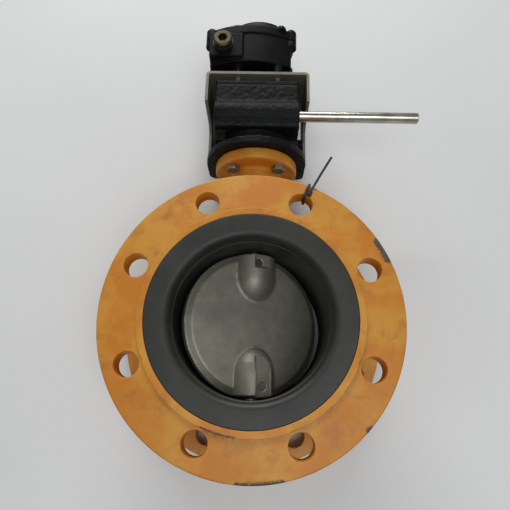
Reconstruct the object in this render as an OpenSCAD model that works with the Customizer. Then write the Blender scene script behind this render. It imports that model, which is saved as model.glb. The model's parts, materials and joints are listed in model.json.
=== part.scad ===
// Double-flanged butterfly valve with a worm gear operator, a bracket and a limit switch box.
// The valve lies on its rear flange: +Z is the flow axis, +Y the stem, +X the input shaft.

/* [Flanges] */
// Bore of the rubber liner
bore_d = 150; // [149:0.5:152]
// Distance between the two raised faces
face_to_face = 127; // [124:1:140]
// Outside diameter of each flange
flange_d = 285; // [283:1:290]
// Thickness of each flange without its raised face
flange_t = 20; // [18:1:22]
// Diameter of the raised face
raised_d = 212; // [206:1:216]
// Height of the raised face
raised_h = 3; // [2:0.5:3]
// Pitch circle of the flange bolts
bolt_pcd = 240; // [240:1:242]
// Number of flange bolts
bolt_count = 8; // [8:4:8]
// Diameter of a flange bolt hole
bolt_d = 23; // [22:1:23]

/* [Disc] */
// Angle of the disc from shut, as it stands
rest_angle = 25; // [10:1:40]
// Radius of the disc's rim
disc_r = 74.4; // [74:0.1:74.6]
// Half the thickness of the disc plate
disc_half = 8; // [7:0.5:9]
// Radius of the disc's two hubs
hub_r = 23; // [20:1:24]
// Diameter of the two stems
stem_d = 20; // [20:1:22]
// Width over the flats of the stem's square end
stem_sq = 14; // [13:0.5:14]

/* [Neck] */
// Distance of the top flange's upper face from the bore axis
top_y = 182.5; // [180:0.5:185]
// Diameter of the top flange
top_d = 92; // [90:1:94]
// Thickness of the top flange
top_t = 12.5; // [12:0.5:14]
// Pitch circle of the top flange bolts
top_pcd = 70; // [70:1:71]

/* [Gear operator] */
// Module of the worm gear
gear_m = 2; // [2:0.1:2]
// Teeth of the worm wheel
wheel_teeth = 24; // [24:1:24]
// Pitch radius of the worm
worm_pitch_r = 10; // [10:0.1:10]
// Height of the worm's axis along the stem
worm_y = 227.5; // [226:0.5:229]
// Diameter of the input shaft
shaft_d = 12; // [12:0.5:13]
// Free end of the input shaft
shaft_end = 178; // [150:1:200]
// Half the width of the gearbox
box_half = 46.5; // [45:0.5:48]
// Diameter of the gearbox's round foot
foot_d = 113; // [110:1:116]

/* [Bracket] */
// Thickness of the bracket's sheet
sheet_t = 3; // [2.5:0.5:3]
// Half the width of the bracket
bracket_half = 58; // [57:0.5:60]
// Height of the bracket's upper face along the stem
bracket_y = 278.5; // [277:0.5:280]

/* [Switch box] */
// Width of the switch box
switch_w = 94; // [92:1:96]
// Middle of the switch box across the valve
switch_x = -9; // [-10:0.5:-8]
// Height of the seam under the lid
seam_y = 330; // [328:1:332]
// Thickness of the box's walls
wall = 3.5; // [3:0.5:4]

/* [Hidden] */
$fn = 72;
CUT = 1;
bore_r = bore_d / 2;
stem_z = face_to_face / 2;
stem_r = stem_d / 2;
front_z = face_to_face - raised_h - flange_t;
seat_r = bore_r + 9;
lip_r = 99;
lip_t = 6;
barrel_r = 99;
neck_r = 26;
boss_r = 24;
boss_y = -124;
bush_t = 3;
stem_in = 34;        // depth of the stems in the disc, from the bore axis
pin_r = 4;
disc_pin_ends = [[-3, 62, 20], [5, -62, 17]];   // place across and along the disc, and height
RUN = 0.05;          // radial clearance of a running fit
GAP = 0.4;           // radial clearance where nothing bears

wheel_r = gear_m * wheel_teeth / 2;
wheel_tip = wheel_r + gear_m;
wheel_root = wheel_r - 1.3 * gear_m;
wheel_w = 18;
cavity_r = wheel_tip + 3.5;
worm_z = stem_z + wheel_r + worm_pitch_r;
worm_tip = worm_pitch_r + gear_m;
worm_root = worm_pitch_r - 1.25 * gear_m;
worm_half = 18;
thread_pitch = PI * gear_m;
lead_angle = atan(gear_m / (2 * worm_pitch_r));
tube_r = 16;
worm_bore = worm_tip + 1;
shaft_r = shaft_d / 2;
foot_t = 8;
foot_y = top_y + 11;
foot_back = 31;
block_y = 208;
cavity_y = 211;
hub_y = 206;         // lower end of the worm wheel's hub
seal_y = 260;
cover_y = 261;
cover_top = 266;
spigot_y = 250;
lip_seal_y = 262;
square_y = 198;      // where the stem's square end starts
journal_r = 16;
neck_journal_r = 12;
pin_shaft_r = 5;
spindle_y = 240;     // lower end of the indicator's spindle
block_back = 27;
block_front = 108;
bush_r = 9;
bush_l = 12;
bush_x = 28;         // inner end of the outer shaft bush
shaft_in = -41;      // inner end of the input shaft
stop_x = 16;
groove_x = 60;       // a ring groove, where the free length of the input shaft starts
groove_w = 1.5;
cross_hole_x = shaft_end - 14;

plate_y = bracket_y - sheet_t;
bracket_back = 20;
bracket_front = 107;
side_screws = [[222, 29], [222, 44]];
screw_head_r = 5.8;
foot_x = 22.5;
foot_dz = 32.5;

base_y = 293;
lid_top = 342;
ear_top = 345;
cap_top = 350;
cap_r = 43;
indicator_y = 341;
window_r = 26;
window_t = 3;
switch_back = 20;
switch_front = 107;
front_curve = 100;
ear_dx = 47;
ear_zs = [27, 91];
plug_x = -40.5;
plug_y = 315.5;
block_z = 109;
block_y0 = 298;
ear_y = 322;
ear_r = 6.5;
floor_t = 4;
plug_head = 6;
cap_boss_h = 1.5;
plate_top = 302.5;   // upper face of the plate that carries the switches
cam_ys = [307, 318];

// ---------- helpers ----------

// Puts a shape drawn along +Z on the stem axis, from height y upwards
module on_stem(y) translate([0, y, stem_z]) rotate([-90, 0, 0]) children();

// Puts a shape drawn along +Z on the worm axis, from x outwards
module on_worm(x) translate([x, worm_y, worm_z]) rotate([0, 90, 0]) children();

// Turns a shape to the disc's own angle about the stem
module on_disc() translate([0, 0, stem_z]) rotate([0, rest_angle, 0]) children();

// A plan drawn with X right and Y towards the front, raised from height y by h
module raised(y, h) translate([0, y + h, 0]) rotate([90, 0, 0]) linear_extrude(h) children();

module ring(r_out, r_in, h) difference() {
    cylinder(r = r_out, h = h);
    translate([0, 0, -CUT]) cylinder(r = r_in, h = h + 2 * CUT);
}

module hexagon(across, h) cylinder(d = across / cos(30), h = h, $fn = 6);

module rounded_square(x0, y0, x1, y1, r) {
    translate([x0 + r, y0]) square([x1 - x0 - 2 * r, y1 - y0]);
    translate([x0, y0 + r]) square([x1 - x0, y1 - y0 - 2 * r]);
    for (x = [x0 + r, x1 - r], y = [y0 + r, y1 - r])
        translate([x, y]) circle(r = r);
}

module flange_holes(r, pcd, count) {
    for (i = [0 : count - 1])
        rotate([0, 0, (i + 0.5) * 360 / count])
            translate([pcd / 2, 0, -CUT])
                cylinder(r = r, h = face_to_face + 2 * CUT);
}

// The four places of the top flange bolts, on the stem axis
module top_bolts(y) for (a = [45 : 90 : 315])
    on_stem(y) rotate([0, 0, a]) translate([top_pcd / 2, 0, 0]) children();

// ---------- valve ----------

module valve_body() color("goldenrod") difference() {
    union() {
        cylinder(d = raised_d, h = face_to_face);
        for (z = [raised_h, front_z])
            translate([0, 0, z]) cylinder(d = flange_d, h = flange_t);
        on_stem(barrel_r - 20) cylinder(r = neck_r, h = top_y - top_t - barrel_r + 20 + CUT);
        on_stem(top_y - top_t) cylinder(d = top_d, h = top_t);
        translate([0, 0, stem_z]) rotate([90, 0, 0]) cylinder(r = boss_r, h = -boss_y);
    }
    translate([0, 0, -CUT]) cylinder(r = seat_r, h = face_to_face + 2 * CUT);
    for (z = [-CUT, face_to_face - lip_t])
        translate([0, 0, z]) cylinder(r = lip_r, h = lip_t + CUT);
    difference() {
        translate([0, 0, raised_h + flange_t])
            cylinder(d = raised_d + 1, h = front_z - raised_h - flange_t);
        cylinder(r = barrel_r, h = face_to_face);
        on_stem(0) cylinder(r = neck_r, h = top_y);
        translate([0, 0, stem_z]) rotate([90, 0, 0]) cylinder(r = boss_r, h = -boss_y);
    }
    flange_holes(bolt_d / 2, bolt_pcd, bolt_count);
    on_stem(0) cylinder(r = stem_r + bush_t, h = top_y - 6);
    on_stem(top_y - 6 - CUT) cylinder(r = stem_r + 4.5, h = 6 + 2 * CUT);
    on_stem(boss_y + 12) cylinder(r = stem_r + bush_t, h = -boss_y);
    on_stem(boss_y - CUT) cylinder(r = 16, h = 14);
    top_bolts(top_y - top_t - CUT) cylinder(r = 4.5, h = top_t + 2 * CUT);
}

function arc(cx, cy, r, a0, a1, n = 6) =
    [for (i = [0 : n]) let (a = a0 + (a1 - a0) * i / n) [cx + r * cos(a), cy + r * sin(a)]];

module seat_liner() {
    edge = 7;
    relief = 1;
    land = 47;
    wide_r = bore_r + relief;
    color("dimgray") difference() {
        rotate_extrude() polygon(concat(
            [[lip_r, 0], [lip_r, lip_t], [seat_r, lip_t], [seat_r, face_to_face - lip_t],
             [lip_r, face_to_face - lip_t], [lip_r, face_to_face]],
            arc(wide_r + edge, face_to_face - edge, edge, 90, 180),
            [[wide_r, stem_z + land + relief], [bore_r, stem_z + land],
             [bore_r, stem_z - land], [wide_r, stem_z - land - relief]],
            arc(wide_r + edge, edge, edge, 180, 270)));
        on_stem(-2 * bore_r) cylinder(r = stem_r + GAP, h = 4 * bore_r);
    }
}

// One hub of the disc: a straight boss that runs out into the plate as a rounded tongue
module disc_hub() {
    nose = 28;
    start = 50;
    steps = 8;
    rotate([-90, 0, 0]) rotate_extrude() polygon(concat(
        [[0, start - nose]],
        [for (i = [1 : steps]) let (t = 90 * i / steps)
            [hub_r * sin(t), start - nose * cos(t)]],
        [[hub_r, bore_r + 5], [0, bore_r + 5]]));
}

module disc() {
    rim_half = 4.2;
    bevel = 7;
    slot_w = 18;
    color("gray") on_disc() difference() {
        intersection() {
            union() {
                rotate_extrude() polygon([
                    [0, -disc_half], [disc_r - bevel, -disc_half], [disc_r - 1.2, -rim_half],
                    [disc_r + 1, -rim_half], [disc_r + 1, rim_half], [disc_r - 1.2, rim_half],
                    [disc_r - bevel, disc_half], [0, disc_half]]);
                disc_hub();
                mirror([0, 1, 0]) disc_hub();
            }
            sphere(r = disc_r, $fn = 96);
        }
        for (a = [-90, 90]) rotate([a, 0, 0]) translate([0, 0, stem_in]) cylinder(r = stem_r, h = bore_r);
        translate([-4, -bore_r - 5, 17.5]) cube([slot_w, bore_r - 22, hub_r]);
        translate([-8, 57, 20.8]) cube([slot_w, bore_r, hub_r]);
        disc_pin_bores();
    }
}

module disc_pin_bores() for (p = disc_pin_ends)
    translate([p[0], p[1], -hub_r - 5]) cylinder(r = pin_r, h = 2 * hub_r + 10);

module disc_pins() color("silver") on_disc() intersection() {
    for (p = disc_pin_ends) translate([p[0], p[1], 2 - hub_r])
        cylinder(r = pin_r, h = p[2] + hub_r - 2);
    sphere(r = disc_r, $fn = 96);
}

module upper_stem() color("silver") difference() {
    union() {
        on_stem(stem_in) cylinder(r = stem_r, h = square_y - stem_in);
        intersection() {
            on_stem(square_y - 8) square_end(46);
            on_stem(square_y - 8) cylinder(r = stem_r - GAP, h = 46);
        }
    }
    on_disc() disc_pin_bores();
}

module square_end(h) translate([-stem_sq / 2, -stem_sq / 2, 0]) cube([stem_sq, stem_sq, h]);

module lower_stem() color("silver") difference() {
    on_stem(boss_y + 16) cylinder(r = stem_r, h = -boss_y - 16 - stem_in);
    on_disc() disc_pin_bores();
}

module upper_stem_bushes() color("peru") for (y = [86, 146])
    on_stem(y) ring(stem_r + bush_t, stem_r + RUN, 22);

module lower_stem_bush() color("peru")
    on_stem(boss_y + 14) ring(stem_r + bush_t, stem_r + RUN, 24);

module stem_seals() color("black") for (y = [112, 118, 169])
    on_stem(y) ring(stem_r + bush_t, stem_r + GAP, 3);

module bottom_plug() color("goldenrod") {
    on_stem(boss_y) cylinder(r = 16, h = 12);
    on_stem(boss_y - 5) hexagon(22, 5);
}

// ---------- gear operator ----------

module gearbox_bolts() color("silver") {
    top_bolts(top_y - top_t - 5.3) hexagon(13, 5.3);
    top_bolts(top_y - top_t) cylinder(r = 4, h = top_t + 9);
}

module block_plan(grow = 0) rounded_square(-box_half - grow, block_back - grow,
    box_half + grow, block_front + grow, 3);

// The foot is round in front and square behind
module foot_plan() intersection() {
    union() {
        translate([0, stem_z]) circle(d = foot_d);
        rounded_square(-foot_d / 2, foot_back, foot_d / 2, stem_z + 8, 8);
    }
    translate([-foot_d, foot_back]) square([2 * foot_d, 2 * foot_d]);
}

// A side view drawn with X up the stem and Y towards the front, drawn across the gearbox
module across_box() translate([-box_half, 0, 0]) rotate([90, 0, 90])
    linear_extrude(2 * box_half) children();

module side_screw_places() for (s = [1, -1], p = side_screws)
    translate([s * bracket_half, p[0], p[1]]) rotate([0, s * 90, 0]) children();

module gearbox_housing() color("#202122") difference() {
    union() {
        raised(top_y, foot_t) foot_plan();
        on_stem(foot_y - 4) cylinder(r = neck_r + 12, h = block_y - foot_y + 10);
        // The casting slopes back from under the worm to the foot
        across_box() polygon([[top_y + foot_t - CUT, foot_back + 4], [top_y + foot_t - CUT, 74],
            [206, 82], [213, 98], [219, 106], [230, 106], [230, foot_back + 4]]);
        raised(block_y, seal_y - block_y) block_plan();
        on_worm(-box_half) cylinder(r = tube_r, h = 2 * box_half);
        translate([-box_half, 196, 70]) cube([13, 16, 29]);
        side_screw_places() translate([0, 0, box_half - bracket_half - CUT])
            cylinder(r = 7, h = bracket_half - sheet_t - box_half + CUT);
        for (x = [-stop_x, stop_x]) translate([x, worm_y, block_back - 3]) cylinder(r = 8, h = 6);
    }
    on_stem(top_y - CUT) cylinder(r = stem_r + 3, h = 60);
    on_stem(hub_y - CUT) cylinder(r = journal_r + RUN, h = cavity_y - hub_y + 2 * CUT);
    on_stem(cavity_y) cylinder(r = cavity_r, h = 60);
    on_worm(-box_half - CUT) cylinder(r = worm_bore, h = box_half + bush_x + CUT);
    on_worm(0) cylinder(r = bush_r, h = 2 * box_half);
    side_screw_places() translate([0, 0, -20]) cylinder(r = 3, h = 20);
    for (x = [-stop_x, stop_x]) translate([x, worm_y, 0]) cylinder(r = 4, h = stem_z - 20);
    top_bolts(top_y - CUT) cylinder(r = 4, h = 11);
    cover_screw_places(seal_y - 12) cylinder(r = 3, h = 14);
}

module cover_screw_places(y)
    for (x = [-39, 39], z = [block_back + 8, block_front - 13])
        translate([x, y, z]) rotate([-90, 0, 0]) children();

module cover_gasket() color("dimgray") difference() {
    raised(seal_y, cover_y - seal_y) block_plan(-0.5);
    on_stem(seal_y - CUT) cylinder(r = cavity_r, h = 4);
    cover_screw_places(seal_y - CUT) cylinder(r = 3, h = 4);
}

module gearbox_cover() color("#202122") difference() {
    union() {
        raised(cover_y, cover_top - cover_y) block_plan();
        on_stem(cover_top) cylinder(r = 19, h = 2);
        on_stem(spigot_y) cylinder(r = 19, h = cover_y - spigot_y + CUT);
    }
    on_stem(spigot_y - CUT) cylinder(r = neck_journal_r + RUN, h = lip_seal_y - spigot_y + CUT);
    on_stem(lip_seal_y - CUT) cylinder(r = 11, h = 8);
    cover_screw_places(cover_y - CUT) cylinder(r = 3, h = 10);
}

module cover_screws() color("silver") {
    cover_screw_places(seal_y - 12) cylinder(r = 3, h = cover_top - seal_y + 12);
    cover_screw_places(cover_top) difference() {
        cylinder(r = 5, h = 4);
        translate([0, 0, 2]) hexagon(5, 3);
    }
}

module output_seal() color("black")
    on_stem(lip_seal_y) ring(11, pin_shaft_r + 0.3, 5);

module worm_wheel() {
    tooth_h = wheel_tip - wheel_root + 1;
    color("darkgoldenrod") difference() {
        union() {
            on_stem(hub_y) cylinder(r = journal_r, h = worm_y - wheel_w / 2 - hub_y + CUT);
            on_stem(worm_y - wheel_w / 2) cylinder(r = wheel_root, h = wheel_w);
            on_stem(worm_y) cylinder(r = neck_journal_r, h = lip_seal_y - GAP - worm_y);
            for (i = [0 : wheel_teeth - 1])
                translate([0, worm_y, stem_z]) rotate([0, (i + 0.5) * 360 / wheel_teeth, 0])
                    translate([0, 0, wheel_root - 1]) rotate([0, 0, -lead_angle])
                        rotate([90, 0, 0]) linear_extrude(wheel_w - 2, center = true)
                            polygon([[-2.2, 0], [2.2, 0], [0.45, tooth_h], [-0.45, tooth_h]]);
        }
        on_stem(hub_y - CUT) square_end(spindle_y - 3 - hub_y + CUT);
        on_stem(spindle_y) cylinder(r = pin_shaft_r, h = 40);
    }
}

// The worm's thread: a trapezoid swept along a right-hand helix about +Z
module thread(turns, steps) {
    n = turns * steps;
    r_in = worm_root - 0.5;
    profile = [[r_in, -1.95], [worm_tip, -0.4], [worm_tip, 0.4], [r_in, 1.95]];
    points = [for (i = [0 : n]) let (a = 360 * i / steps, z = thread_pitch * i / steps)
        for (q = profile) [q[0] * cos(a), q[0] * sin(a), z + q[1]]];
    sides = [for (i = [0 : n - 1], k = [0 : 3]) let (a = 4 * i + k, b = 4 * i + (k + 1) % 4)
        each [[a, b, a + 4], [b, b + 4, a + 4]]];
    polyhedron(points, concat(sides, [[3, 2, 1, 0]], [[4 * n, 4 * n + 1, 4 * n + 2, 4 * n + 3]]),
        convexity = 8);
}

module worm() {
    turns = 4;
    // local +Z is +X here, local +X is -Z, so the thread starts facing the wheel
    color("slategray") on_worm(0) difference() {
        union() {
            translate([0, 0, -worm_half]) cylinder(r = worm_root, h = 2 * worm_half);
            translate([0, 0, -turns / 2 * thread_pitch]) thread(turns, 24);
        }
        translate([0, 0, -worm_half - CUT]) cylinder(r = shaft_r, h = 2 * worm_half + 2 * CUT);
        worm_pin_bore();
    }
}

module worm_pin_bore() translate([0, -10, 15.5]) rotate([-90, 0, 0]) cylinder(r = 1.5, h = 20);

module worm_pin() color("silver") on_worm(0) intersection() {
    worm_pin_bore();
    translate([0, 0, 10]) cylinder(r = worm_root, h = 12);
}

module input_shaft() color("silver") difference() {
    union() {
        on_worm(shaft_in) cylinder(r = shaft_r, h = shaft_end - 1 - shaft_in);
        on_worm(shaft_end - 1) cylinder(r1 = shaft_r, r2 = shaft_r - 1, h = 1);
    }
    on_worm(groove_x) ring(shaft_r + 1, shaft_r - 0.3, groove_w);
    on_worm(0) worm_pin_bore();
    translate([cross_hole_x, worm_y, worm_z]) rotate([-58, 0, 0])
        translate([0, 0, -shaft_d]) cylinder(r = 2.1, h = 2 * shaft_d);
}

module shaft_bushes() color("peru") {
    for (x = [shaft_in, bush_x]) on_worm(x) ring(bush_r, shaft_r + RUN, bush_l);
}

module thrust_washers() color("peru") for (x = [-20.4, 18.4])
    on_worm(x) ring(worm_root + 3, shaft_r + RUN, 2);

module shaft_seal() color("black")
    on_worm(bush_x + bush_l + GAP) ring(bush_r, shaft_r + 0.3, box_half - bush_x - bush_l - GAP);

module worm_end_cap() color("#202122") difference() {
    on_worm(-box_half) cylinder(r = worm_bore, h = 18);
    on_worm(shaft_in - GAP) cylinder(r = bush_r, h = 20);
}

module stop_screws() color("silver") for (x = [-stop_x, stop_x])
    translate([x, worm_y, 12]) difference() {
        cylinder(r = 4, h = 26);
        translate([0, 0, -CUT]) hexagon(4, 5);
    }

module stop_nuts() color("silver") for (x = [-stop_x, stop_x])
    translate([x, worm_y, block_back - 9.5]) difference() {
        hexagon(13, 6.5);
        translate([0, 0, -CUT]) cylinder(r = 4, h = 9);
    }

// ---------- bracket ----------

module bracket() {
    bend = 5;
    over = bracket_half + CUT;
    arm_end = foot_y + 1.5;
    step_y = 241;
    arm_front = 52;
    color("#5e5c54") difference() {
        translate([0, 0, bracket_back]) linear_extrude(bracket_front - bracket_back) difference() {
            rounded_square(-bracket_half, top_y, bracket_half, bracket_y, bend);
            rounded_square(-bracket_half + sheet_t, top_y - bend, bracket_half - sheet_t, plate_y,
                bend - sheet_t);
            translate([-over, 0]) square([2 * over, arm_end]);
        }
        // The arms step back below the input shaft
        translate([-over, 0, 0]) rotate([90, 0, 90]) linear_extrude(2 * over)
            polygon([[step_y, 2 * bracket_front], [step_y, bracket_front - 2], [step_y - 2, 60],
                [step_y - 8, arm_front], [top_y, arm_front], [top_y, 2 * bracket_front]]);
        on_stem(plate_y - CUT) cylinder(r = 14, h = sheet_t + 2 * CUT);
        box_screw_places(plate_y - CUT) cylinder(r = 2.75, h = sheet_t + 2 * CUT);
        side_screw_places() translate([0, 0, -sheet_t - CUT]) {
            cylinder(r = 3.2, h = 2 * CUT);
            translate([0, 0, CUT]) cylinder(r1 = 3.2, r2 = screw_head_r + 0.2, h = sheet_t);
            cylinder(r = 3.2, h = sheet_t + 2 * CUT);
        }
    }
}

module bracket_screws() color("silver") side_screw_places() difference() {
    union() {
        translate([0, 0, -sheet_t]) cylinder(r1 = 3, r2 = screw_head_r, h = sheet_t);
        translate([0, 0, -18]) cylinder(r = 3, h = 18);
    }
    translate([0, 0, -2]) hexagon(4, 3);
}

module box_screw_places(y) for (x = [-foot_x, foot_x], dz = [-foot_dz, foot_dz])
    translate([x, y, stem_z + dz]) rotate([-90, 0, 0]) children();

module box_washers() color("silver") box_screw_places(plate_y - 1) ring(5, 2.6, 1);

module box_screws() color("silver") {
    box_screw_places(plate_y - 5) hexagon(8, 4);
    box_screw_places(plate_y - 1) cylinder(r = 2.5, h = 14);
}

// ---------- switch box ----------

module switch_plan(grow) intersection() {
    translate([switch_x - switch_w / 2 - grow, switch_back - grow])
        square([switch_w + 2 * grow, switch_front - switch_back + 2 * grow]);
    translate([switch_x, switch_front - front_curve]) circle(r = front_curve + grow, $fn = 96);
}

module ears(y, h, r) for (s = [-1, 1], z = ear_zs)
    translate([switch_x + s * ear_dx, y, z]) rotate([-90, 0, 0]) cylinder(r = r, h = h);

module switch_box_base() color("#26282a") difference() {
    union() {
        raised(base_y, seam_y - base_y) switch_plan(0);
        ears(ear_y, seam_y - ear_y, ear_r);
        translate([switch_x - switch_w / 2, block_y0, 80]) cube([38, seam_y - block_y0, block_z - 80]);
        box_screw_places(bracket_y) cylinder(r = 5.5, h = base_y - bracket_y + CUT);
        for (x = [-switch_w / 2, switch_w / 2 - 4])
            translate([switch_x + x, bracket_y, 36]) cube([4, base_y - bracket_y + CUT, 54]);
    }
    difference() {
        raised(base_y + floor_t, seam_y) switch_plan(-wall);
        box_screw_places(base_y) cylinder(r = 6, h = 10);
        ears(base_y, seam_y - base_y, 6);
        translate([plug_x, plug_y, 80]) cylinder(r = 13, h = 40);
    }
    translate([plug_x, plug_y, 70]) cylinder(r = 9.9, h = 60);
    box_screw_places(bracket_y - CUT) cylinder(r = 2.5, h = 16);
    ears(seam_y - 7, 8, 2.5);
    on_stem(base_y - CUT) cylinder(r = 8, h = 10);
}

module lid_gasket() color("black") difference() {
    raised(seam_y, 1) difference() {
        switch_plan(-0.6);
        switch_plan(-wall + 0.5);
    }
    ears(seam_y - CUT, 3, 2.8);
}

module switch_box_lid() color("#26282a") difference() {
    union() {
        raised(seam_y + 1, lid_top - seam_y - 1) switch_plan(1.5);
        ears(seam_y + 1, ear_top - seam_y - 1, ear_r);
        on_stem(lid_top) cylinder(r1 = cap_r, r2 = cap_r - 2, h = cap_top - lid_top);
        cap_screw_places(lid_top - 3) cylinder(r = 6, h = 3 + cap_boss_h);
    }
    raised(seam_y, 7) difference() {
        switch_plan(-wall);
        for (s = [-1, 1], z = ear_zs) translate([switch_x + s * ear_dx, z]) circle(r = 6);
    }
    on_stem(seam_y) cylinder(r = 20, h = 30);
    on_stem(cap_top - window_t) cylinder(r = window_r, h = 10);
    ears(seam_y, 14, 2.8);
    ears(ear_top - 2, 14, 5.2);
    cap_screw_places(lid_top - 2) cylinder(r = 1.8, h = 8);
    cap_screw_places(lid_top + cap_boss_h) cylinder(r = 4.4, h = 10);
}

module cap_screw_places(y) for (x = [-26, 26], dz = [-36, 36])
    translate([x, y, stem_z + dz]) rotate([-90, 0, 0]) children();

module cap_screws() color("#303234") {
    cap_screw_places(lid_top - 2) cylinder(r = 1.8, h = 4);
    cap_screw_places(lid_top + cap_boss_h) difference() {
        cylinder(r = 3.8, h = 2.5);
        translate([-0.5, -5, 1.5]) cube([1, 10, 2]);
    }
}

module lid_screws() color("#303234") {
    ears(seam_y - 6, ear_top - 2 - seam_y + 6, 2.4);
    difference() {
        ears(ear_top - 2, 4, 4.6);
        for (s = [-1, 1], z = ear_zs) translate([switch_x + s * ear_dx, ear_top, z])
            rotate([-90, 0, 0]) hexagon(4, 4);
    }
}

module plug_washer() color("darkkhaki")
    translate([plug_x, plug_y, block_z]) ring(11.5, 9.9, 1.5);

module cable_plug() color("darkkhaki") translate([plug_x, plug_y, block_z]) difference() {
    union() {
        translate([0, 0, -16]) cylinder(r = 9.8, h = 18);
        translate([0, 0, 1.5]) cylinder(r = 10.6, h = plug_head);
        translate([0, 0, 1.5 + plug_head]) cylinder(r1 = 10.6, r2 = 9, h = 1.5);
    }
    translate([0, 0, plug_head - 6]) hexagon(10, 12);
}

module indicator_window() color("lightgray", 0.5)
    on_stem(cap_top - window_t) cylinder(r = window_r, h = window_t - GAP);

module indicator_shaft() color("silver")
    on_stem(spindle_y) cylinder(r = pin_shaft_r, h = indicator_y - spindle_y);

module indicator_disc() color("gold") on_stem(indicator_y) difference() {
    cylinder(r = 18, h = 4);
    for (s = [1, -1]) translate([s * 14 - 4, -2.5, 2.5]) cube([8, 5, 3]);
}

module cam(y) on_stem(y) difference() {
    union() {
        cylinder(r = 9, h = 7);
        translate([4, 0, 0]) cylinder(r = 8, h = 7);
    }
    translate([0, 0, -CUT]) cylinder(r = pin_shaft_r, h = 9);
}

module lower_cam() color("crimson") cam(cam_ys[0]);
module upper_cam() color("seagreen") cam(cam_ys[1]);

module switch_plate() color("silver") difference() {
    raised(plate_top - 1.5, 1.5) translate([-34, 34]) square([66, 58]);
    on_stem(base_y + floor_t) cylinder(r = 9, h = 10);
    box_screw_places(base_y + floor_t) cylinder(r = 6.3, h = 10);
}

module micro_switch(y) {
    translate([15, y, stem_z - 14]) cube([10, 8, 28]);
    translate([13.6, y + 2, stem_z - 10]) cube([0.6, 4, 22]);
    translate([14, y + 2, stem_z - 10]) cube([2, 4, 3]);
}

module lower_switch() color("black") micro_switch(cam_ys[0] - 0.5);
module upper_switch() color("black") micro_switch(cam_ys[1] - 0.5);

module terminal_strip() color("gray") difference() {
    translate([-50, plate_top, 34]) cube([14, 14, 44]);
    for (i = [0 : 4]) translate([-43, plate_top + 8, 40 + 8 * i]) rotate([-90, 0, 0])
        cylinder(r = 2, h = 8);
}

module earth_screw() color("silver") {
    translate([-44, base_y + 4, 92]) rotate([-90, 0, 0]) cylinder(r = 4, h = 3);
    translate([-44, base_y + 7, 92]) rotate([-90, 0, 0]) hexagon(5.5, 2);
}

module switch_shaft_bush() color("peru") on_stem(base_y - 2) {
    ring(8, pin_shaft_r + RUN, 8);
}

valve_body();
seat_liner();
disc();
upper_stem();
lower_stem();
disc_pins();
upper_stem_bushes();
lower_stem_bush();
stem_seals();
bottom_plug();
gearbox_housing();
gearbox_bolts();
cover_gasket();
gearbox_cover();
cover_screws();
worm_wheel();
worm();
input_shaft();
worm_pin();
shaft_bushes();
thrust_washers();
shaft_seal();
worm_end_cap();
stop_screws();
stop_nuts();
output_seal();
bracket();
bracket_screws();
box_screws();
box_washers();
switch_box_base();
lid_gasket();
switch_box_lid();
lid_screws();
cap_screws();
cable_plug();
plug_washer();
indicator_window();
indicator_disc();
indicator_shaft();
lower_cam();
upper_cam();
switch_plate();
lower_switch();
upper_switch();
terminal_strip();
earth_screw();
switch_shaft_bush();
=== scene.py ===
"""Looks of the flanged butterfly valve: castings, rubber, fasteners, paint and light."""
import json
import math

import bmesh
import bpy
from mathutils import Euler, Matrix, Vector, noise


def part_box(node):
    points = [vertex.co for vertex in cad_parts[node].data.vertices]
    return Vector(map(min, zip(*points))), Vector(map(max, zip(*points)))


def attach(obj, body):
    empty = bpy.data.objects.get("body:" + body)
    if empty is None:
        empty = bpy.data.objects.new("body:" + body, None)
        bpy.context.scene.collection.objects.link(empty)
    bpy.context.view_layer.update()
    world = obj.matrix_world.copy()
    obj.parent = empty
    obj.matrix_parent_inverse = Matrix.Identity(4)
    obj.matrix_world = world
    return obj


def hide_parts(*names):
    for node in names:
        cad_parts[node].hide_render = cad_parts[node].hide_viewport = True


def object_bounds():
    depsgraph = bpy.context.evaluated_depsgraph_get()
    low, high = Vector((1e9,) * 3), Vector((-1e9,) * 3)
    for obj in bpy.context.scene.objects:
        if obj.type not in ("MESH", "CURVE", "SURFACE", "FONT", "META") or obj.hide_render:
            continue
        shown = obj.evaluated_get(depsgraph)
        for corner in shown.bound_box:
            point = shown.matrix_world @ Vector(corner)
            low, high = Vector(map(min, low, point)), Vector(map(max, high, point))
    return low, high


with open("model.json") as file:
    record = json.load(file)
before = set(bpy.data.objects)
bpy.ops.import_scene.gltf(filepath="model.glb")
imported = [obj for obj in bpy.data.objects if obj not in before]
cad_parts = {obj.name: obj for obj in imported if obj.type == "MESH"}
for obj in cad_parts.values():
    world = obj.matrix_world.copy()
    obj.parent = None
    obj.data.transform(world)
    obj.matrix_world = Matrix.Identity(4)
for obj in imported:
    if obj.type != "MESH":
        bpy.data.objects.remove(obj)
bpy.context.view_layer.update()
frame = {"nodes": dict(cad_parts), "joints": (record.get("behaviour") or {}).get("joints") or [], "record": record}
MM = 0.001
NODES = frame["nodes"]
MOUNTS = {m["name"]: m for m in frame["record"]["mounts"]}
JOINTS = {j["name"]: j for j in frame["joints"]}


# ---------------------------------------------------------------- places, from the frame

def extent(node):
    low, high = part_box(node)
    return high - low


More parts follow.
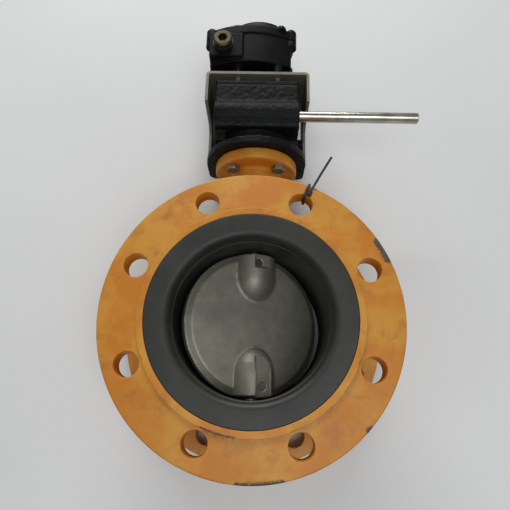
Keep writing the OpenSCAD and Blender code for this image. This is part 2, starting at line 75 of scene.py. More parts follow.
FLOOR_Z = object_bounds()[0].z
STEM_Z = JOINTS["disc_turn"]["pos_m"][2]
WORM_Y = JOINTS["input_turn"]["pos_m"][1]
FACE_TO_FACE = MOUNTS["front_face"]["pos_m"][2]
BOLT_CIRCLE_R = MOUNTS["front_bolts"]["dims"]["pcd_mm"] / 2 * MM
BOLT_HOLE_R = MOUNTS["front_bolts"]["dims"]["hole_r_mm"] * MM
BOLT_COUNT = MOUNTS["front_bolts"]["dims"]["count"]
RAISED_H = FACE_TO_FACE - MOUNTS["front_bolts"]["pos_m"][2]
FLANGE_R = extent("valve_body").x / 2
FLANGE_T = 20 * MM
RAISED_R = 106 * MM
LIP_R = extent("seat_liner").x / 2
BARREL_R = 99 * MM
SEAT_R = 84 * MM
TOP_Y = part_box("valve_body")[1].y
DISC_OPEN = math.radians(-JOINTS["disc_turn"]["range_deg"][0])


# ---------------------------------------------------------------- mesh tools

def link(mesh, name):
    obj = bpy.data.objects.new(name, mesh)
    bpy.context.scene.collection.objects.link(obj)
    return obj


def mesh_object(name, verts, faces, smooth_angle=35):
    mesh = bpy.data.meshes.new(name)
    mesh.from_pydata([tuple(v) for v in verts], [], faces)
    mesh.validate()
    obj = link(mesh, name)
    fix_normals(obj)
    shade(obj, smooth_angle)
    return obj


def fix_normals(obj):
    bm = bmesh.new()
    bm.from_mesh(obj.data)
    bmesh.ops.remove_doubles(bm, verts=bm.verts, dist=1e-7)
    bmesh.ops.recalc_face_normals(bm, faces=bm.faces)
    bm.to_mesh(obj.data)
    bm.free()


def shade(obj, angle=35):
    """Smooth shading, with edges over the angle kept sharp."""
    for poly in obj.data.polygons:
        poly.use_smooth = True
    if angle < 180:
        obj.data.set_sharp_from_angle(angle=math.radians(angle))


def lathe(name, profile, matrix=Matrix.Identity(4), segments=128, smooth_angle=35):
    """A closed outline of (radius, height) turned about its Z axis, then placed by the matrix."""
    verts, rings = [], []
    for r, h in profile:
        if r < 1e-9:
            rings.append([len(verts)])
            verts.append(matrix @ Vector((0, 0, h)))
            continue
        rings.append(list(range(len(verts), len(verts) + segments)))
        for i in range(segments):
            a = 2 * math.pi * i / segments
            verts.append(matrix @ Vector((r * math.cos(a), r * math.sin(a), h)))
    faces = []
    for k, here in enumerate(rings):
        there = rings[(k + 1) % len(rings)]
        if len(here) == 1 and len(there) == 1:
            continue
        for i in range(segments):
            j = (i + 1) % segments
            if len(here) == 1:
                faces.append((here[0], there[i], there[j]))
            elif len(there) == 1:
                faces.append((here[i], there[0], here[j]))
            else:
                faces.append((here[i], there[i], there[j], here[j]))
    return mesh_object(name, verts, faces, smooth_angle)


def rounded(corners, steps=5):
    """An outline of (x, y, radius) corners with each corner rounded by its radius."""
    out = []
    n = len(corners)
    for i, (x, y, r) in enumerate(corners):
        here = Vector((x, y))
        if r <= 0:
            out.append((x, y))
            continue
        to_prev = (Vector(corners[i - 1][:2]) - here).normalized()
        to_next = (Vector(corners[(i + 1) % n][:2]) - here).normalized()
        half = to_prev.angle(to_next) / 2
        reach = r / math.tan(half)
        mid = here + (to_prev + to_next).normalized() * (r / math.sin(half))
        start, end = here + to_prev * reach - mid, here + to_next * reach - mid
        turn = math.atan2(start.x * end.y - start.y * end.x, start.dot(end))
        for k in range(steps + 1):
            a = turn * k / steps
            out.append((mid.x + start.x * math.cos(a) - start.y * math.sin(a),
                        mid.y + start.x * math.sin(a) + start.y * math.cos(a)))
    return out


def prism(name, outline, height, matrix=Matrix.Identity(4), edge=0.0, smooth_angle=35):
    """An outline of (x, y) raised along Z, with both rims chamfered by edge."""
    n = len(outline)
    middle = sum((Vector(p) for p in outline), Vector((0, 0))) / n
    levels = [(0, edge), (edge, 0), (height - edge, 0), (height, edge)] if edge else [(0, 0), (height, 0)]
    verts, faces = [], []
    for z, inset in levels:
        for p in outline:
            away = Vector(p) - middle
            q = middle + away * (1 - inset / max(away.length, 1e-9))
            verts.append(matrix @ Vector((q.x, q.y, z)))
    for k in range(len(levels) - 1):
        for i in range(n):
            j = (i + 1) % n
            faces.append((k * n + i, k * n + j, (k + 1) * n + j, (k + 1) * n + i))
    faces.append(tuple(range(n)))
    faces.append(tuple((len(levels) - 1) * n + i for i in range(n)))
    return mesh_object(name, verts, faces, smooth_angle)


def apply_modifiers(obj):
    bpy.context.view_layer.update()
    evaluated = obj.evaluated_get(bpy.context.evaluated_depsgraph_get())
    mesh = bpy.data.meshes.new_from_object(evaluated)
    obj.modifiers.clear()
    old = obj.data
    obj.data = mesh
    bpy.data.meshes.remove(old)
    return obj


def cut(obj, cutter, operation="DIFFERENCE"):
    mod = obj.modifiers.new("cut", "BOOLEAN")
    mod.operation = operation
    mod.solver = "EXACT"
    mod.object = cutter
    apply_modifiers(obj)
    bpy.data.objects.remove(cutter)
    return obj


def join(name, objects):
    """One object of all these meshes, in the row frame."""
    bm = bmesh.new()
    for obj in objects:
        piece = obj.data.copy()
        piece.transform(obj.matrix_world)
        bm.from_mesh(piece)
        bpy.data.meshes.remove(piece)
        bpy.data.objects.remove(obj)
    mesh = bpy.data.meshes.new(name)
    bm.to_mesh(mesh)
    bm.free()
    return link(mesh, name)


def copy_node(node, name):
    return link(NODES[node].data.copy(), name)


def cast(obj, voxel, passes, wave=0.0, wave_size=0.01, seed=0):
    """Rounds a shape as a casting is: one skin with soft edges, and a slight waviness."""
    remesh = obj.modifiers.new("skin", "REMESH")
    remesh.mode = "VOXEL"
    remesh.voxel_size = voxel * 1
    smooth = obj.modifiers.new("soften", "SMOOTH")
    smooth.factor = 0.5
    smooth.iterations = passes
    apply_modifiers(obj)
    obj.data.materials.clear()
    if wave:
        shift = Vector((seed * 7.3, seed * 3.1, seed * 5.7))
        normals = [v.normal.copy() for v in obj.data.vertices]
        for v, normal in zip(obj.data.vertices, normals):
            v.co += normal * (wave * noise.fractal(v.co / wave_size + shift, 0.8, 2.0, 4))
    shade(obj, 180)
    return obj


def along_y(x, y, z):
    """Local +Z becomes +Y, with the origin at the point."""
    return Matrix.Translation((x, y, z)) @ Matrix.Rotation(math.radians(-90), 4, "X")


# ---------------------------------------------------------------- material tools

class Shader:
    """A node material with short ways to add textures, mixes and masks."""

    def __init__(self, name, **values):
        self.material = bpy.data.materials.new(name)
        self.material.use_nodes = True
        self.tree = self.material.node_tree
        self.bsdf = self.tree.nodes["Principled BSDF"]
        self.coords = self.tree.nodes.new("ShaderNodeTexCoord").outputs["Object"]
        self.rag = None
        for key, value in values.items():
            socket = self.bsdf.inputs[key.replace("_", " ").title().replace("Ior", "IOR")]
            socket.default_value = value

    def node(self, kind, inputs=(), **settings):
        made = self.tree.nodes.new("ShaderNode" + kind)
        for key, value in settings.items():
            setattr(made, key, value)
        for key, value in dict(inputs).items():
            self.feed(made.inputs[key], value)
        return made

    def feed(self, socket, value):
        if isinstance(value, bpy.types.NodeSocket):
            self.tree.links.new(value, socket)
        else:
            socket.default_value = value

    def noise(self, scale, detail=4.0, rough=0.55, stretch=(1, 1, 1), distortion=0.0, offset=(0, 0, 0)):
        place = self.node("Mapping", {"Vector": self.coords, "Scale": stretch, "Location": offset})
        return self.node("TexNoise", {"Vector": place.outputs[0], "Scale": scale, "Detail": detail,
                                      "Roughness": rough, "Distortion": distortion}).outputs["Fac"]

    def ramp(self, value, low, high, smooth=False):
        """0 below low, 1 above high."""
        made = self.node("MapRange", {"Value": value, "From Min": low, "From Max": high})
        made.interpolation_type = "SMOOTHSTEP" if smooth else "LINEAR"
        return made.outputs["Result"]

    def math(self, operation, a, b=0.0):
        made = self.node("Math", operation=operation)
        self.feed(made.inputs[0], a)
        self.feed(made.inputs[1], b)
        return made.outputs[0]

    def mix(self, factor, a, b):
        made = self.node("Mix", data_type="RGBA")
        self.feed(made.inputs["Factor"], factor)
        self.feed(made.inputs[6], a if isinstance(a, bpy.types.NodeSocket) else (*a, 1))
        self.feed(made.inputs[7], b if isinstance(b, bpy.types.NodeSocket) else (*b, 1))
        return made.outputs[2]

    def blend(self, factor, a, b):
        made = self.node("Mix", data_type="FLOAT")
        self.feed(made.inputs["Factor"], factor)
        self.feed(made.inputs[2], a)
        self.feed(made.inputs[3], b)
        return made.outputs[0]

    def edges(self, radius, low=0.02, high=0.2):
        """1 along sharp edges, 0 elsewhere."""
        bevel = self.node("Bevel", {"Radius": radius}, samples=4)
        geometry = self.node("NewGeometry")
        dot = self.node("VectorMath", operation="DOT_PRODUCT")
        self.feed(dot.inputs[0], bevel.outputs[0])
        self.feed(dot.inputs[1], geometry.outputs["Normal"])
        return self.ramp(self.math("SUBTRACT", 1.0, dot.outputs["Value"]), low, high)

    def axis(self, name):
        return self.node("SeparateXYZ", {"Vector": self.coords}).outputs[name]

    def ball(self, point, radius, soft=0.4):
        """1 within the radius of a point, falling to 0, with a ragged rim."""
        apart = self.node("VectorMath", {0: self.coords, 1: point}, operation="DISTANCE")
        if self.rag is None:
            self.rag = self.noise(260, 5, 0.65)
        ragged = self.math("MULTIPLY_ADD", self.rag, radius * 1.1)
        self.feed(ragged.node.inputs[2], apart.outputs["Value"])
        return self.ramp(ragged, radius * 1.55, radius * (1.55 - soft))

    def bump(self, height, distance, strength=1.0, after=None):
        made = self.node("Bump", {"Height": height, "Distance": distance, "Strength": strength})
        if after is not None:
            self.feed(made.inputs["Normal"], after)
        return made.outputs[0]

    def set(self, **sockets):
        for key, value in sockets.items():
            socket = self.bsdf.inputs[key.replace("_", " ").title().replace("Ior", "IOR")]
            if isinstance(value, tuple) and len(value) == 3:
                value = (*value, 1)
            self.feed(socket, value)
        return self.material


def srgb(r, g, b):
    """A linear colour from the 0 to 255 values that a screen shows."""
    def one(c):
        c /= 255
        return c / 12.92 if c <= 0.04045 else ((c + 0.055) / 1.055) ** 2.4
    return one(r), one(g), one(b)


# ---------------------------------------------------------------- materials

def ochre_paint():
    s = Shader("ochre_paint", roughness=0.5, metallic=0.0)
    tan, orange, brown = srgb(196, 136, 42), srgb(188, 115, 20), srgb(138, 88, 34)
    patches = s.ramp(s.noise(22, 5, 0.6), 0.4, 0.62, smooth=True)
    colour = s.mix(patches, orange, tan)
    stains = s.ramp(s.noise(48, 6, 0.65, distortion=0.6, offset=(3, 1, 2)), 0.53, 0.72)
    colour = s.mix(s.math("MULTIPLY", stains, 0.55), colour, brown)
    dust = s.ramp(s.noise(900, 3, 0.7), 0.62, 0.72)
    colour = s.mix(s.math("MULTIPLY", dust, 0.35), colour, srgb(120, 80, 40))
    edge = s.edges(1.6 * MM, 0.01, 0.14)
    pale = s.math("MULTIPLY", edge, s.ramp(s.noise(140, 4, 0.6), 0.35, 0.6))
    colour = s.mix(s.math("MULTIPLY", pale, 0.6), colour, srgb(212, 164, 92))
    chips = s.math("MULTIPLY", edge, s.ramp(s.noise(55, 6, 0.7, offset=(9, 4, 1)), 0.585, 0.62))
    for place, radius in CHIPS:
        chips = s.math("MAXIMUM", chips, s.ball(place, radius))
    bare = s.mix(s.noise(300, 4), srgb(52, 44, 34), srgb(98, 84, 64))
    colour = s.mix(chips, colour, bare)
    rough = s.blend(chips, s.blend(s.noise(70, 4), 0.42, 0.6), 0.7)
    skin = s.bump(s.noise(420, 4, 0.5), 0.25 * MM, 0.5)
    skin = s.bump(s.noise(90, 3, 0.5), 0.5 * MM, 0.35, skin)
    skin = s.bump(s.math("SUBTRACT", 1.0, chips), 0.25 * MM, 0.8, skin)
    return s.set(base_color=colour, roughness=rough, normal=skin)


def liner_rubber():
    s = Shader("liner_rubber", roughness=0.5)
    colour = s.mix(s.ramp(s.noise(28, 5, 0.6), 0.35, 0.7), srgb(29, 30, 26), srgb(43, 44, 39))
    haze = s.ramp(s.noise(120, 5, 0.7, distortion=1.0), 0.55, 0.8)
    colour = s.mix(s.math("MULTIPLY", haze, 0.22), colour, srgb(72, 74, 66))
    rough = s.blend(s.noise(60, 4), 0.42, 0.62)
    skin = s.bump(s.noise(700, 3, 0.5), 0.08 * MM, 0.5)
    return s.set(base_color=colour, roughness=rough, normal=skin)


def plain_rubber():
    s = Shader("seal_rubber", roughness=0.6)
    colour = s.mix(s.noise(300, 4), srgb(22, 22, 22), srgb(40, 40, 38))
    return s.set(base_color=colour, normal=s.bump(s.noise(900, 3), 0.05 * MM, 0.5))


def disc_metal():
    s = Shader("disc_metal", roughness=0.45, metallic=0.55)
    colour = s.mix(s.ramp(s.noise(30, 5, 0.6), 0.35, 0.68), srgb(120, 119, 107), srgb(142, 140, 126))
    marks = s.ramp(s.noise(85, 6, 0.7, distortion=0.8), 0.6, 0.75)
    colour = s.mix(s.math("MULTIPLY", marks, 0.4), colour, srgb(78, 76, 66))
    rough = s.blend(s.noise(110, 5), 0.38, 0.58)
    skin = s.bump(s.noise(650, 4, 0.55), 0.16 * MM, 0.5)
    skin = s.bump(s.noise(120, 3, 0.5), 0.5 * MM, 0.3, skin)
    return s.set(base_color=colour, roughness=rough, normal=skin)


def turned_metal(name, dark, light, roughness, axis_stretch, metallic=1.0, lines=0.06):
    """Machined metal with fine tool lines across the stretched axis."""
    s = Shader(name, metallic=metallic)
    tool = s.noise(900, 3, 0.6, stretch=axis_stretch)
    colour = s.mix(s.ramp(s.noise(60, 5, 0.6), 0.3, 0.7), dark, light)
    colour = s.mix(s.math("MULTIPLY", s.ramp(tool, 0.5, 0.75), 0.25), colour, dark)
    rough = s.blend(s.noise(150, 4), roughness * 0.8, roughness * 1.3)
    return s.set(base_color=colour, roughness=rough, normal=s.bump(tool, lines * MM, 0.6))


def zinc_plate():
    s = Shader("zinc_plate", metallic=0.9)
    colour = s.mix(s.noise(220, 5, 0.7), srgb(118, 114, 100), srgb(162, 159, 146))
    rust = s.ramp(s.noise(160, 5, 0.7, offset=(5, 2, 8)), 0.62, 0.74)
    colour = s.mix(s.math("MULTIPLY", rust, 0.6), colour, srgb(120, 92, 58))
    return s.set(base_color=colour, roughness=s.blend(s.noise(400, 3), 0.3, 0.5),
                 normal=s.bump(s.noise(800, 3), 0.06 * MM, 0.5))


def black_casting():
    s = Shader("black_casting", metallic=0.0, specular_ior_level=0.1)
    colour = s.mix(s.ramp(s.noise(60, 5, 0.6), 0.3, 0.7), srgb(13, 14, 14), srgb(25, 26, 26))
    worn = s.math("MULTIPLY", s.edges(1.2 * MM, 0.02, 0.2), s.ramp(s.noise(160, 5, 0.7), 0.45, 0.6))
    colour = s.mix(s.math("MULTIPLY", worn, 0.4), colour, srgb(70, 70, 66))
    tube = s.math("SUBTRACT", 1.0, s.ramp(s.axis("Y"), WORM_Y + 4 * MM, WORM_Y + 14 * MM))
    skin = s.bump(s.noise(520, 5, 0.6), 0.25 * MM, 0.4)
    peel = s.math("MULTIPLY", s.noise(620, 3, 0.6), tube)
    skin = s.bump(peel, 0.45 * MM, 0.7, skin)
    return s.set(base_color=colour, roughness=s.blend(s.noise(90, 4), 0.38, 0.56), normal=skin)


def black_coat():
    s = Shader("black_coat", metallic=0.0, specular_ior_level=0.08)
    colour = s.mix(s.ramp(s.noise(70, 5, 0.6), 0.3, 0.7), srgb(8, 9, 10), srgb(15, 16, 17))
    dust = s.ramp(s.noise(200, 5, 0.7, distortion=0.5), 0.55, 0.75)
    colour = s.mix(s.math("MULTIPLY", dust, 0.1), colour, srgb(60, 60, 56))
    worn = s.math("MULTIPLY", s.edges(0.8 * MM, 0.02, 0.2), s.ramp(s.noise(240, 5, 0.7), 0.45, 0.6))
    colour = s.mix(s.math("MULTIPLY", worn, 0.4), colour, srgb(84, 84, 78))
    skin = s.bump(s.noise(1300, 3, 0.5), 0.08 * MM, 0.6)
    return s.set(base_color=colour, roughness=s.blend(s.noise(110, 4), 0.34, 0.5), normal=skin)


def sheet_steel():
    s = Shader("sheet_steel", metallic=0.45)
    rolled = s.noise(500, 4, 0.6, stretch=(0.04, 1, 1))
    colour = s.mix(s.ramp(s.noise(26, 5, 0.6), 0.3, 0.7), srgb(104, 100, 86), srgb(132, 128, 114))
    colour = s.mix(s.math("MULTIPLY", s.ramp(rolled, 0.4, 0.7), 0.3), colour, srgb(88, 84, 70))
    # Painted highlight: every edge and bend of the sheet is lightened halfway to a pale grey.
    edge = s.edges(0.9 * MM, 0.02, 0.2)
    colour = s.mix(s.math("MULTIPLY", edge, 0.5), colour, srgb(190, 188, 178))
    return s.set(base_color=colour, roughness=s.blend(s.noise(80, 4), 0.5, 0.66),
                 normal=s.bump(rolled, 0.05 * MM, 0.5))


def plug_metal():
    s = Shader("plug_metal", metallic=0.85)
    worn = s.ramp(s.noise(260, 5, 0.7), 0.4, 0.62)
    colour = s.mix(worn, srgb(84, 82, 68), srgb(72, 66, 40))
    grime = s.ramp(s.noise(340, 5, 0.7, offset=(2, 7, 1)), 0.55, 0.7)
    colour = s.mix(s.math("MULTIPLY", grime, 0.6), colour, srgb(70, 60, 36))
    return s.set(base_color=colour, roughness=s.blend(s.noise(500, 3), 0.28, 0.5),
                 normal=s.bump(s.noise(600, 4), 0.12 * MM, 0.6))


def moulded(name, dark, light, roughness=0.45):
    s = Shader(name)
    colour = s.mix(s.ramp(s.noise(180, 4, 0.6), 0.3, 0.7), dark, light)
    return s.set(base_color=colour, roughness=s.blend(s.noise(240, 3), roughness * 0.85, roughness * 1.2),
                 normal=s.bump(s.noise(1100, 3), 0.05 * MM, 0.5))


def clear_plastic():
    s = Shader("clear_plastic", transmission_weight=0.9, ior=1.49)
    scuffs = s.ramp(s.noise(400, 5, 0.8), 0.55, 0.75)
    return s.set(base_color=s.mix(scuffs, srgb(225, 228, 228), srgb(200, 204, 204)),
                 roughness=s.blend(scuffs, 0.06, 0.25), normal=s.bump(s.noise(500, 3), 0.02 * MM, 0.4))


# Worn places of the paint on the front flange: (point, radius)
FRONT = FACE_TO_FACE - RAISED_H


def on_flange(degrees, radius, z=FRONT):
    a = math.radians(degrees)
    return radius * math.cos(a), radius * math.sin(a), z


CHIPS = (
    [(on_flange(d, FLANGE_R - 2 * MM), 5 * MM) for d in (24, 25.5, 27, 28.5, 30, 31.5)]
    + [(on_flange(-93 + 1.5 * k, FLANGE_R + 1 * MM), 4.5 * MM) for k in range(11)]
    + [(on_flange(64.6, FLANGE_R + 2 * MM), 5 * MM), (on_flange(-42.6, FLANGE_R + 1 * MM), 5 * MM)]
    + [(on_flange(-112 + 1.5 * k, RAISED_R + 1 * MM, FACE_TO_FACE), 3.2 * MM) for k in range(11)]
)

PAINT = ochre_paint()
LINER = liner_rubber()
SEAL = plain_rubber()
DISC = disc_metal()
STEEL = turned_metal("turned_steel", srgb(120, 120, 116), srgb(170, 170, 164), 0.3, (1, 0.08, 1))
SHAFT = turned_metal("ground_steel", srgb(150, 146, 134), srgb(196, 194, 184), 0.2, (1, 0.08, 0.08),
                     lines=0.03)
DARK_STEEL = turned_metal("dark_steel", srgb(36, 36, 38), srgb(62, 62, 64), 0.4, (1, 0.3, 1), 0.8)
BRONZE = turned_metal("bronze", srgb(120, 84, 44), srgb(164, 122, 70), 0.34, (1, 0.1, 1))
ZINC = zinc_plate()
CASTING = black_casting()
COAT = black_coat()
SHEET = sheet_steel()
PLUG = plug_metal()
WINDOW = clear_plastic()
YELLOW = moulded("indicator_yellow", srgb(196, 150, 20), srgb(218, 176, 40))
RED = moulded("cam_red", srgb(150, 30, 24), srgb(176, 44, 34))
GREEN = moulded("cam_green", srgb(24, 100, 48), srgb(40, 124, 66))
BLACK_PLASTIC = moulded("black_plastic", srgb(20, 20, 21), srgb(34, 34, 35))
GREY_PLASTIC = moulded("grey_plastic", srgb(140, 140, 132), srgb(164, 164, 156))

SLOT_MATERIALS = {
    "body_paint": PAINT, "rubber": LINER, "seal_rubber": SEAL, "disc_metal": DISC, "steel": STEEL,
    "bright_steel": SHAFT, "dark_steel": DARK_STEEL, "zinc": ZINC, "bronze": BRONZE,
    "plug_brass": PLUG, "black_paint": CASTING, "box_paint": COAT, "sheet_steel": SHEET,
    "clear_plastic": WINDOW, "indicator_plastic": YELLOW, "cam_red": RED, "cam_green": GREEN,
    "switch_plastic": BLACK_PLASTIC, "terminal_plastic": GREY_PLASTIC,
}
NODE_SLOTS = {s["node"]: s["material_slot"] for s in frame["record"]["subparts"]}


def finish_cad_nodes():
    """Gives every CAD node its slot's material, and smooth shading between its sharp edges."""
    for name, obj in NODES.items():
        obj.data.materials.clear()
        obj.data.materials.append(SLOT_MATERIALS[NODE_SLOTS[name]])
        shade(obj, 32)


def dress(obj, material, body, *nodes, slot=None):
    """Gives a piece its material and body, and hides the CAD nodes that it stands for."""
    obj.data.materials.clear()
    obj.data.materials.append(material)
    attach(obj, body)
    if nodes:
        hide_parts(*nodes)
    return obj


# ---------------------------------------------------------------- camera, light, floor

def make_camera():
    """The viewpoint: a phone held over the valve, a little towards the foot of the stem axis."""
    data = bpy.data.cameras.new("camera")
    camera = bpy.data.objects.new("camera", data)
    bpy.context.scene.collection.objects.link(camera)
    data.sensor_width = 36
    data.lens = 32.67
    camera.location = (9.2 * MM, -67.2 * MM, FACE_TO_FACE + 420.3 * MM)
    camera.rotation_euler = Euler((math.radians(16.53), math.radians(0.54), math.radians(1.37)))
    bpy.context.scene.camera = camera


def area_light(name, place, target, size, power, colour=(1, 1, 1)):
    data = bpy.data.lights.new(name, "AREA")
    data.shape = "RECTANGLE"
    data.size, data.size_y = size
    data.energy = power
    data.color = colour
    light = bpy.data.objects.new(name, data)
    light.location = place
    light.rotation_euler = (Vector(target) - Vector(place)).to_track_quat("-Z", "Y").to_euler()
    bpy.context.scene.collection.objects.link(light)


def make_stage():
    bpy.context.scene.view_settings.view_transform = "Standard"
    middle = (0, 60 * MM, 60 * MM)
    area_light("key", (-0.3, 2.1, 1.05), middle, (1.5, 0.7), 34, (1, 0.99, 0.97))
    area_light("overhead", (0.25, -0.5, 1.8), middle, (1.2, 1.0), 13, (0.98, 0.99, 1))
    world = bpy.data.worlds.new("world")
    bpy.context.scene.world = world
    world.use_nodes = True
    world.node_tree.nodes["Background"].inputs["Color"].default_value = (0.93, 0.95, 0.97, 1)
    world.node_tree.nodes["Background"].inputs["Strength"].default_value = 0.33
    side = 4.0
    floor = mesh_object("floor", [(-side, -side, FLOOR_Z), (side, -side, FLOOR_Z),
                                  (side, side, FLOOR_Z), (-side, side, FLOOR_Z)], [(0, 1, 2, 3)])
    s = Shader("floor_card", roughness=0.6)
    cloud = s.ramp(s.noise(2.2, 3, 0.5), 0.3, 0.7, smooth=True)
    grain = s.noise(700, 3, 0.6)
    colour = s.mix(cloud, srgb(212, 213, 213), srgb(218, 219, 219))
    s.set(base_color=colour, normal=s.bump(grain, 0.03 * MM, 0.4))
    floor.data.materials.append(s.material)


# ---------------------------------------------------------------- valve

def body_outline():
    """Half section of both flanges and the barrel, as (radius, height) corners with their rounding."""
    top = FACE_TO_FACE
    edge, step, root = 1.6 * MM, 0.6 * MM, 7 * MM
    face = RAISED_H
    back = RAISED_H + FLANGE_T
    return rounded([
        (SEAT_R, 6 * MM, 0), (LIP_R + 0.3 * MM, 6 * MM, 0), (LIP_R + 0.3 * MM, 0, step),
        (RAISED_R, 0, step), (RAISED_R, face, step), (FLANGE_R, face, edge),
        (FLANGE_R, back, edge), (BARREL_R, back, root),
        (BARREL_R, top - back, root), (FLANGE_R, top - back, edge),
        (FLANGE_R, top - face, edge), (RAISED_R, top - face, step), (RAISED_R, top, step),
        (LIP_R + 0.3 * MM, top, step), (LIP_R + 0.3 * MM, top - 6 * MM, 0),
        (SEAT_R, top - 6 * MM, 0)], steps=4)


def bolt_hole_cutter():
    """All the flange bolt holes, slightly flared at each face."""
    top, flare = FACE_TO_FACE, 1.0 * MM
    r = BOLT_HOLE_R
    cutters = []
    for i in range(BOLT_COUNT):
        a = math.radians((i + 0.5) * 360 / BOLT_COUNT)
        spot = Matrix.Translation((BOLT_CIRCLE_R * math.cos(a), BOLT_CIRCLE_R * math.sin(a), 0))
        for low, high in ((RAISED_H, RAISED_H + FLANGE_T),
                          (top - RAISED_H - FLANGE_T, top - RAISED_H)):
            over = 3 * MM
            profile = [(0, low - over), (r + flare + over, low - over), (r + flare * 0.3, low + flare * 0.3),
                       (r, low + flare), (r, high - flare), (r + flare * 0.3, high - flare * 0.3),
                       (r + flare + over, high + over), (0, high + over)]
            cutters.append(lathe("cutter", profile, spot, 64))
    return join("bolt_holes", cutters)


def neck_casting():
    """Neck, top flange and lower boss, with fillets into the barrel."""
    voxel = 1.3 * MM
    inside = BARREL_R - 0.8 * MM
    skin = lathe("barrel_skin", [(SEAT_R + 3 * MM, 24 * MM), (inside, 24 * MM),
                                 (inside, FACE_TO_FACE - 24 * MM), (SEAT_R + 3 * MM, FACE_TO_FACE - 24 * MM)],
                 segments=160)
    stem = along_y(0, 0, STEM_Z)
    neck_r, top_r, top_t = 26 * MM, 46 * MM, 12.5 * MM
    start = 86 * MM
    bore_r = 13 * MM
    neck = lathe("neck", rounded([
        (bore_r, start, 0), (neck_r, start, 0), (neck_r, TOP_Y - top_t, 3 * MM),
        (top_r, TOP_Y - top_t, 2 * MM), (top_r, TOP_Y, 1.4 * MM), (bore_r, TOP_Y, 0)], 4), stem, 96)
    boss_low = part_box("bottom_plug")[0].y + 5 * MM
    boss = lathe("boss", rounded([(16 * MM, -start, 0), (24 * MM, -start, 0),
                                  (24 * MM, boss_low, 2 * MM), (16 * MM, boss_low, 0)], 4), stem, 96)
    web_t = 9 * MM
    webs = []
    for side in (1, -1):
        outline = [(neck_r - 4 * MM, 92 * MM), (44 * MM, 88 * MM), (neck_r - 4 * MM, 128 * MM)]
        web = prism("web", [(side * x, y) for x, y in outline], web_t,
                    Matrix.Translation((0, 0, STEM_Z - web_t / 2)))
        webs.append(web)
    return cast(join("neck_casting", [skin, neck, boss, *webs]), voxel, 5, 0.15 * MM, 9 * MM)


def make_valve_body():
    body = lathe("valve_body_casting", body_outline(), segments=216)
    cut(body, bolt_hole_cutter())
    whole = join("valve_body_casting", [body, neck_casting()])
    shade(whole, 38)
    dress(whole, PAINT, "body", "valve_body")


def make_liner():
    """Rubber liner: two face lips that roll over into the bore, with a raised sealing band inside."""
    top = FACE_TO_FACE
    bore = extent("seat_liner").y / 2
    bore_r = 75 * MM
    wide_r = bore_r + 1 * MM
    edge = 7 * MM
    band = 47 * MM
    lip = 6 * MM
    low, high = STEM_Z - band, STEM_Z + band
    bead = 0.9 * MM
    outline = rounded([
        (SEAT_R, lip, 0), (LIP_R, lip, 0), (LIP_R, 0, 0.8 * MM), (wide_r, 0, edge),
        (wide_r, low - 2 * bead, 0.3 * MM), (bore_r - bead * 0.2, low - bead, 0.3 * MM),
        (bore_r, low, 0.3 * MM), (bore_r, high, 0.3 * MM),
        (bore_r - bead * 0.2, high + bead, 0.3 * MM), (wide_r, high + 2 * bead, 0.3 * MM),
        (wide_r, top, edge), (LIP_R, top, 0.8 * MM), (LIP_R, top - lip, 0), (SEAT_R, top - lip, 0)], 8)
    liner = lathe("rubber_liner", outline, segments=216)
    cut(liner, lathe("stem_hole", [(0, -bore), (10.4 * MM, -bore), (10.4 * MM, bore), (0, bore)],
                     along_y(0, 0, STEM_Z), 48))
    shade(liner, 40)
    dress(liner, LINER, "body", "seat_liner")


def make_disc():
    """Cast disc: the CAD shape with soft casting radii."""
    disc = cast(copy_node("disc", "valve_disc"), 0.8 * MM, 3, 0.12 * MM, 12 * MM, 3)
    turned = Matrix.Rotation(-DISC_OPEN, 3, "Y")
    soft_r, soft_low, soft_high = 60 * MM, -24 * MM, 54 * MM    # clear of the rim and the slots
    hubs = disc.vertex_groups.new(name="hubs")
    soft = []
    for v in disc.data.vertices:
        p = turned @ (v.co - Vector((0, 0, STEM_Z)))
        if p.xy.length < soft_r and soft_low < p.y < soft_high:
            soft.append(v.index)
    hubs.add(soft, 1.0, "REPLACE")
    smooth = disc.modifiers.new("fillets", "SMOOTH")
    smooth.vertex_group = "hubs"
    smooth.factor, smooth.iterations = 0.5, 45
    apply_modifiers(disc)
    dress(disc, DISC, "disc_train", "disc")


def make_gearbox():
    housing = cast(copy_node("gearbox_housing", "gearbox_casting"), 0.9 * MM, 3, 0.35 * MM, 5 * MM, 5)
    dress(housing, CASTING, "body", "gearbox_housing")
    cover = cast(copy_node("gearbox_cover", "gearbox_cover_casting"), 0.8 * MM, 2, 0.2 * MM, 5 * MM, 6)
    dress(cover, CASTING, "body", "gearbox_cover")


def make_switch_box():
    base = cast(copy_node("switch_box_base", "switch_box_casting"), 0.8 * MM, 2)
    dress(base, COAT, "body", "switch_box_base")
    lid = cast(copy_node("switch_box_lid", "switch_box_cover"), 0.8 * MM, 2)
    dress(lid, COAT, "body", "switch_box_lid")


def hex_head(name, across, height, matrix, shank_r=0.0, shank=0.0):
    """A hexagon bolt head with its chamfered crown and washer face; the shank goes down from it."""
    r = across / 2 / math.cos(math.radians(30))
    head = prism(name, [(r * math.cos(math.radians(60 * k)), r * math.sin(math.radians(60 * k)))
                        for k in range(6)], height, matrix)
    crown = lathe("crown", [(0, -MM), (r * 1.1, -MM), (r * 1.1, height - 0.22 * across),
                            (across / 2 * 0.93, height), (0, height)], matrix, 48)
    cut(head, crown, "INTERSECT")
    pieces = [head, lathe("face", [(0, -0.3 * MM), (across * 0.46, -0.3 * MM),
                                   (across * 0.46, 0.1 * MM), (0, 0.1 * MM)], matrix, 48)]
    if shank:
        pieces.append(lathe("shank", [(0, -shank), (shank_r * 0.9, -shank), (shank_r, -shank + 1 * MM),
                                      (shank_r, 0), (0, 0)], matrix, 32))
    return pieces


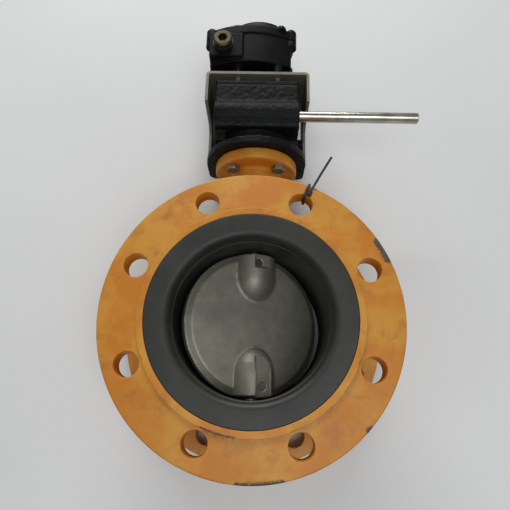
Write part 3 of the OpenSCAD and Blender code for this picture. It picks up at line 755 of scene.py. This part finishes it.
def make_top_flange_bolts():
    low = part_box("gearbox_bolts")[0].y
    pitch = 35 * MM
    pieces = []
    turn = Matrix.Rotation(math.radians(180), 4, "X")
    for k in range(4):
        a = math.radians(45 + 90 * k)
        spin = Matrix.Rotation(math.radians(17 * k), 4, "Z")
        place = along_y(pitch * math.cos(a), TOP_Y - 12.5 * MM, STEM_Z + pitch * math.sin(a)) @ turn @ spin
        pieces += hex_head("bolt", 13 * MM, TOP_Y - 12.5 * MM - low, place, 4 * MM, 20 * MM)
    bolts = join("gearbox_hex_bolts", pieces)
    shade(bolts, 30)
    dress(bolts, ZINC, "body", "gearbox_bolts")


def make_cable_tie():
    """A black tie through one bolt hole and round the flange's rim, its tail standing up."""
    centre_angle = math.radians(360 / BOLT_COUNT * 1.5)
    outward = Vector((math.cos(centre_angle), math.sin(centre_angle), 0))
    low, high = FACE_TO_FACE - RAISED_H - FLANGE_T, FACE_TO_FACE - RAISED_H
    hole_out = BOLT_CIRCLE_R + BOLT_HOLE_R
    path = []
    lift, drop = high + 1.6 * MM, low - 1.6 * MM
    inner, outer = hole_out - 2 * MM, FLANGE_R + 1.6 * MM
    for r, z in ((inner, (lift + drop) / 2), (inner, lift - 2 * MM), (inner + 2 * MM, lift),
                 ((inner + outer) / 2, lift + 0.6 * MM), (outer - 2 * MM, lift), (outer, lift - 2 * MM),
                 (outer, (lift + drop) / 2), (outer, drop + 2 * MM), (outer - 2 * MM, drop),
                 ((inner + outer) / 2, drop), (inner + 2 * MM, drop), (inner, drop + 2 * MM)):
        path.append(outward * r + Vector((0, 0, z)))
    loop = ribbon("tie_loop", path, 2.6 * MM, 1.1 * MM, closed=True)
    across = outward.cross(Vector((0, 0, 1)))
    head_at = outward * (inner + 3 * MM) + across * (4 * MM) + Vector((0, 0, lift + 1.4 * MM))
    head = prism("tie_head", [(-2.6 * MM, -2.3 * MM), (2.6 * MM, -2.3 * MM), (2.6 * MM, 2.3 * MM),
                              (-2.6 * MM, 2.3 * MM)], 3.2 * MM,
                 Matrix.Translation(head_at) @ Matrix.Rotation(centre_angle, 4, "Z"), edge=0.5 * MM)
    tail_path = []
    steps = 12
    for k in range(steps + 1):
        t = k / steps
        tail_path.append(head_at + outward * (40 * MM * t) + across * (6 * MM * t)
                         + Vector((0, 0, 3 * MM + 9 * MM * math.sin(t * 1.5))))
    tail = ribbon("tie_tail", tail_path, 2.2 * MM, 0.9 * MM)
    tie = join("cable_tie", [loop, head, tail])
    shade(tie, 40)
    dress(tie, BLACK_PLASTIC, "body", slot="switch_plastic")


def ribbon(name, path, width, thick, closed=False):
    """A flat strap along a path of points."""
    n = len(path)
    verts, faces = [], []
    for i, p in enumerate(path):
        before = path[(i - 1) % n] if closed or i else path[0]
        after = path[(i + 1) % n] if closed or i < n - 1 else path[-1]
        ahead = (after - before).normalized()
        side = ahead.cross(Vector((0, 0, 1)))
        if closed:
            flat = Vector((path[0].x, path[0].y, 0)).normalized()
            side = flat.cross(Vector((0, 0, 1)))
        side.normalize()
        up = side.cross(ahead).normalized()
        for a, b in ((-1, -1), (1, -1), (1, 1), (-1, 1)):
            verts.append(p + side * (a * width / 2) + up * (b * thick / 2))
    for i in range(n if closed else n - 1):
        j = (i + 1) % n
        for k in range(4):
            m = (k + 1) % 4
            faces.append((4 * i + k, 4 * i + m, 4 * j + m, 4 * j + k))
    if not closed:
        faces += [(0, 1, 2, 3), tuple(4 * (n - 1) + k for k in range(4))]
    return mesh_object(name, verts, faces)


make_camera()
make_stage()
finish_cad_nodes()
make_valve_body()
make_liner()
make_disc()
make_gearbox()
make_switch_box()
make_top_flange_bolts()
make_cable_tie()
